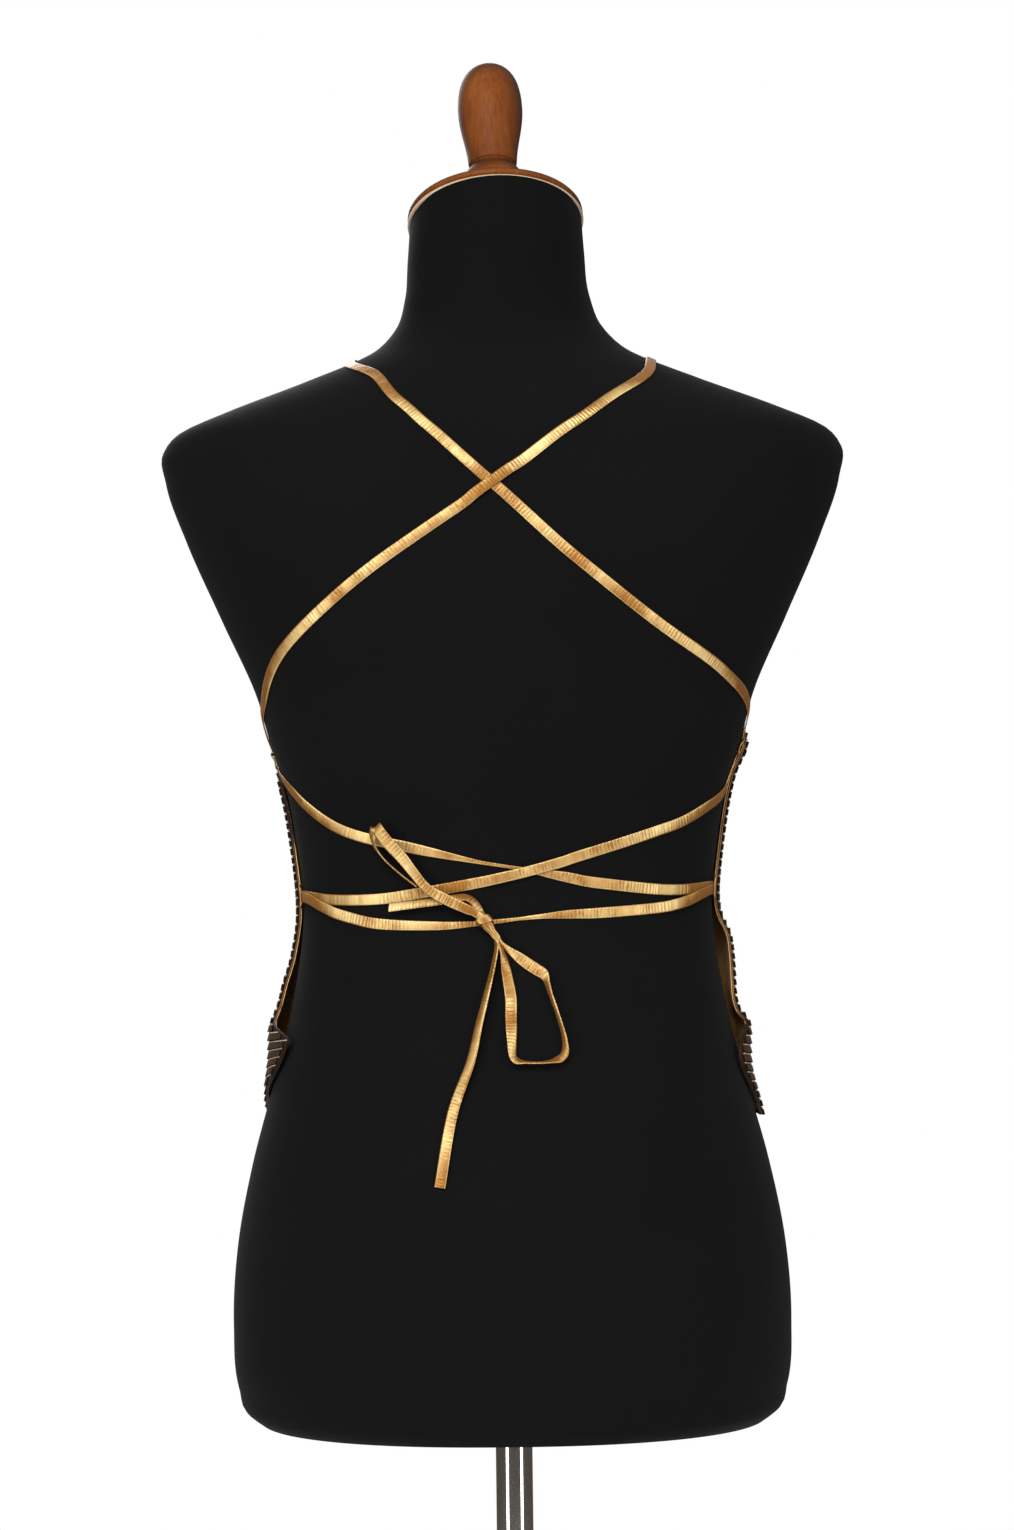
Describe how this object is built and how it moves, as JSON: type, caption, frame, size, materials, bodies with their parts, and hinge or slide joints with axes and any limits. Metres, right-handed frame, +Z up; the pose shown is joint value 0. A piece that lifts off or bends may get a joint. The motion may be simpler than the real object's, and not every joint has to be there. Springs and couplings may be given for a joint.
{
  "type": "beaded halter top on a limbless dress form with a pole and a round foot",
  "caption": "Beaded halter top with a bare back, long satin ties that cross behind and end in a bow at the waist, worn by a black limbless dress form on a chrome stand.",
  "frame": {"origin": "on the floor under the middle of the pole", "axes": "+Z up along the pole, -Y out of the back of the garment where the ties cross, +X to the right of that back as seen from behind"},
  "size_m": [0.4066, 0.33, 1.1008],
  "materials": {
    "beads": "dark bronze bugle beads sewn in rows on satin",
    "lining": "bronze satin",
    "satin": "gold satin",
    "jersey": "black jersey stretched over a shell",
    "cream_edge": "cream cord-covered edge",
    "stained_wood": "stained and lacquered",
    "chrome": "polished"
  },
  "bodies": {
    "root": {"front_panel": "beads", "front_lining": "lining", "upper_loop_left": "satin", "upper_loop_right": "satin", "waist_loop_left": "satin", "waist_loop_right": "satin", "tie_a_shoulder": "satin", "tie_a_back": "satin", "tie_a_waist": "satin", "tie_b_shoulder": "satin", "tie_b_back": "satin", "tie_b_waist": "satin", "bow_knot": "satin", "bow_ear_upper": "satin", "bow_ear_lower": "satin", "bow_tail_short": "satin", "bow_tail_long": "satin", "torso": "jersey", "neck_trim": "cream_edge", "neck_cap": "stained_wood", "finial": "stained_wood", "pole": "chrome", "base": "chrome"}
  },
  "joints": []
}
